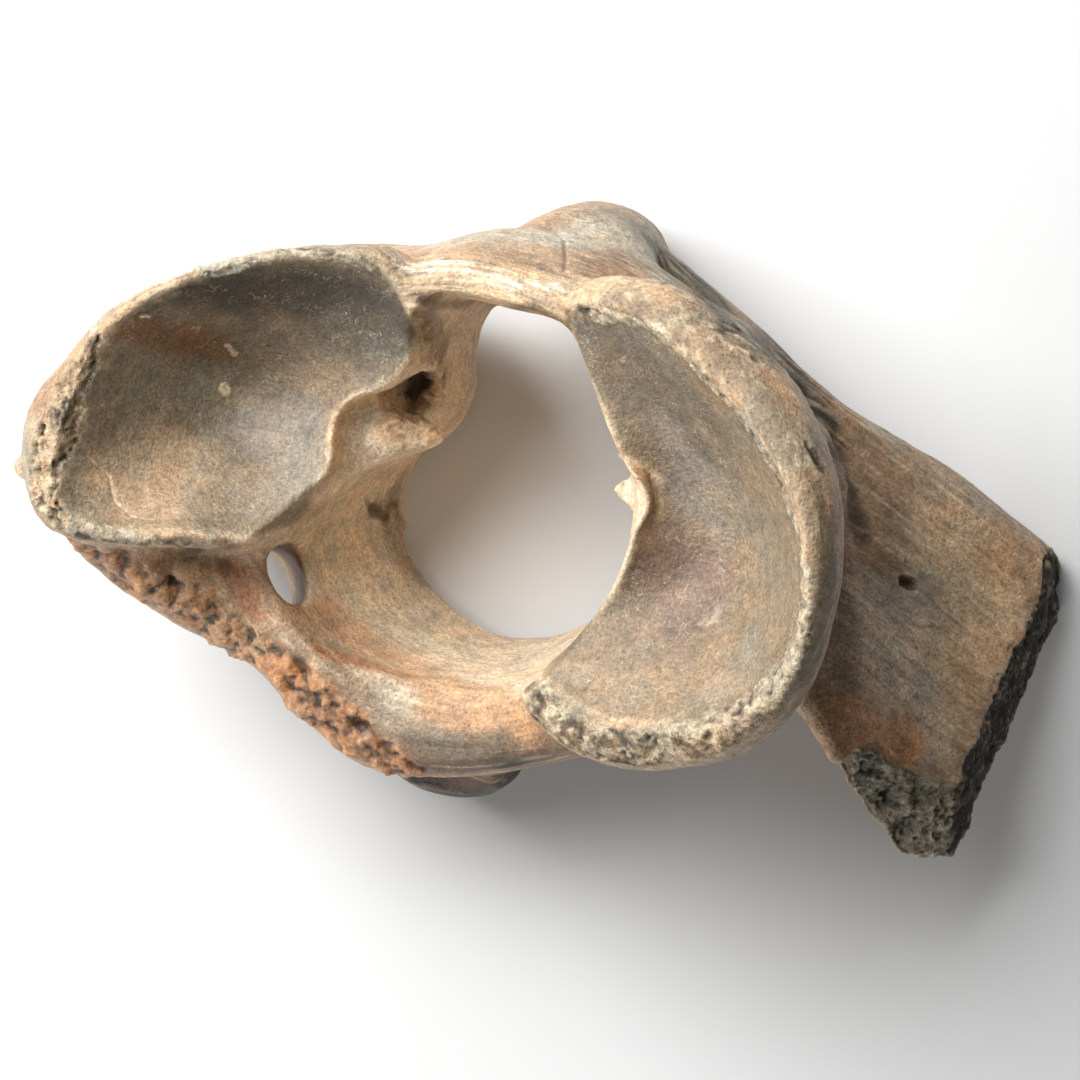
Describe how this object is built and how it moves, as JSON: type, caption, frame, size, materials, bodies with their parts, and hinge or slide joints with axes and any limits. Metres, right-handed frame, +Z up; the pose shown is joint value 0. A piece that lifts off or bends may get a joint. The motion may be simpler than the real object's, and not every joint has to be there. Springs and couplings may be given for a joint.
{
  "type": "fossil woolly rhinoceros atlas vertebra",
  "caption": "Fossil first neck vertebra of a woolly rhinoceros: two deep cups for the skull, wide canal, rough upper arch and one broken wing.",
  "frame": {"origin": "centre of the bone's bounding box, on the floor it rests on", "axes": "+X along the bone's greatest width, towards the broken end of the wing; +Y towards the throat side of the bone; +Z up, towards the skull side"},
  "size_m": [0.2174, 0.1386, 0.1189],
  "materials": {
    "bone": "matte, stained fossil bone"
  },
  "bodies": {
    "root": {"atlas_vertebra": "bone"}
  },
  "joints": []
}
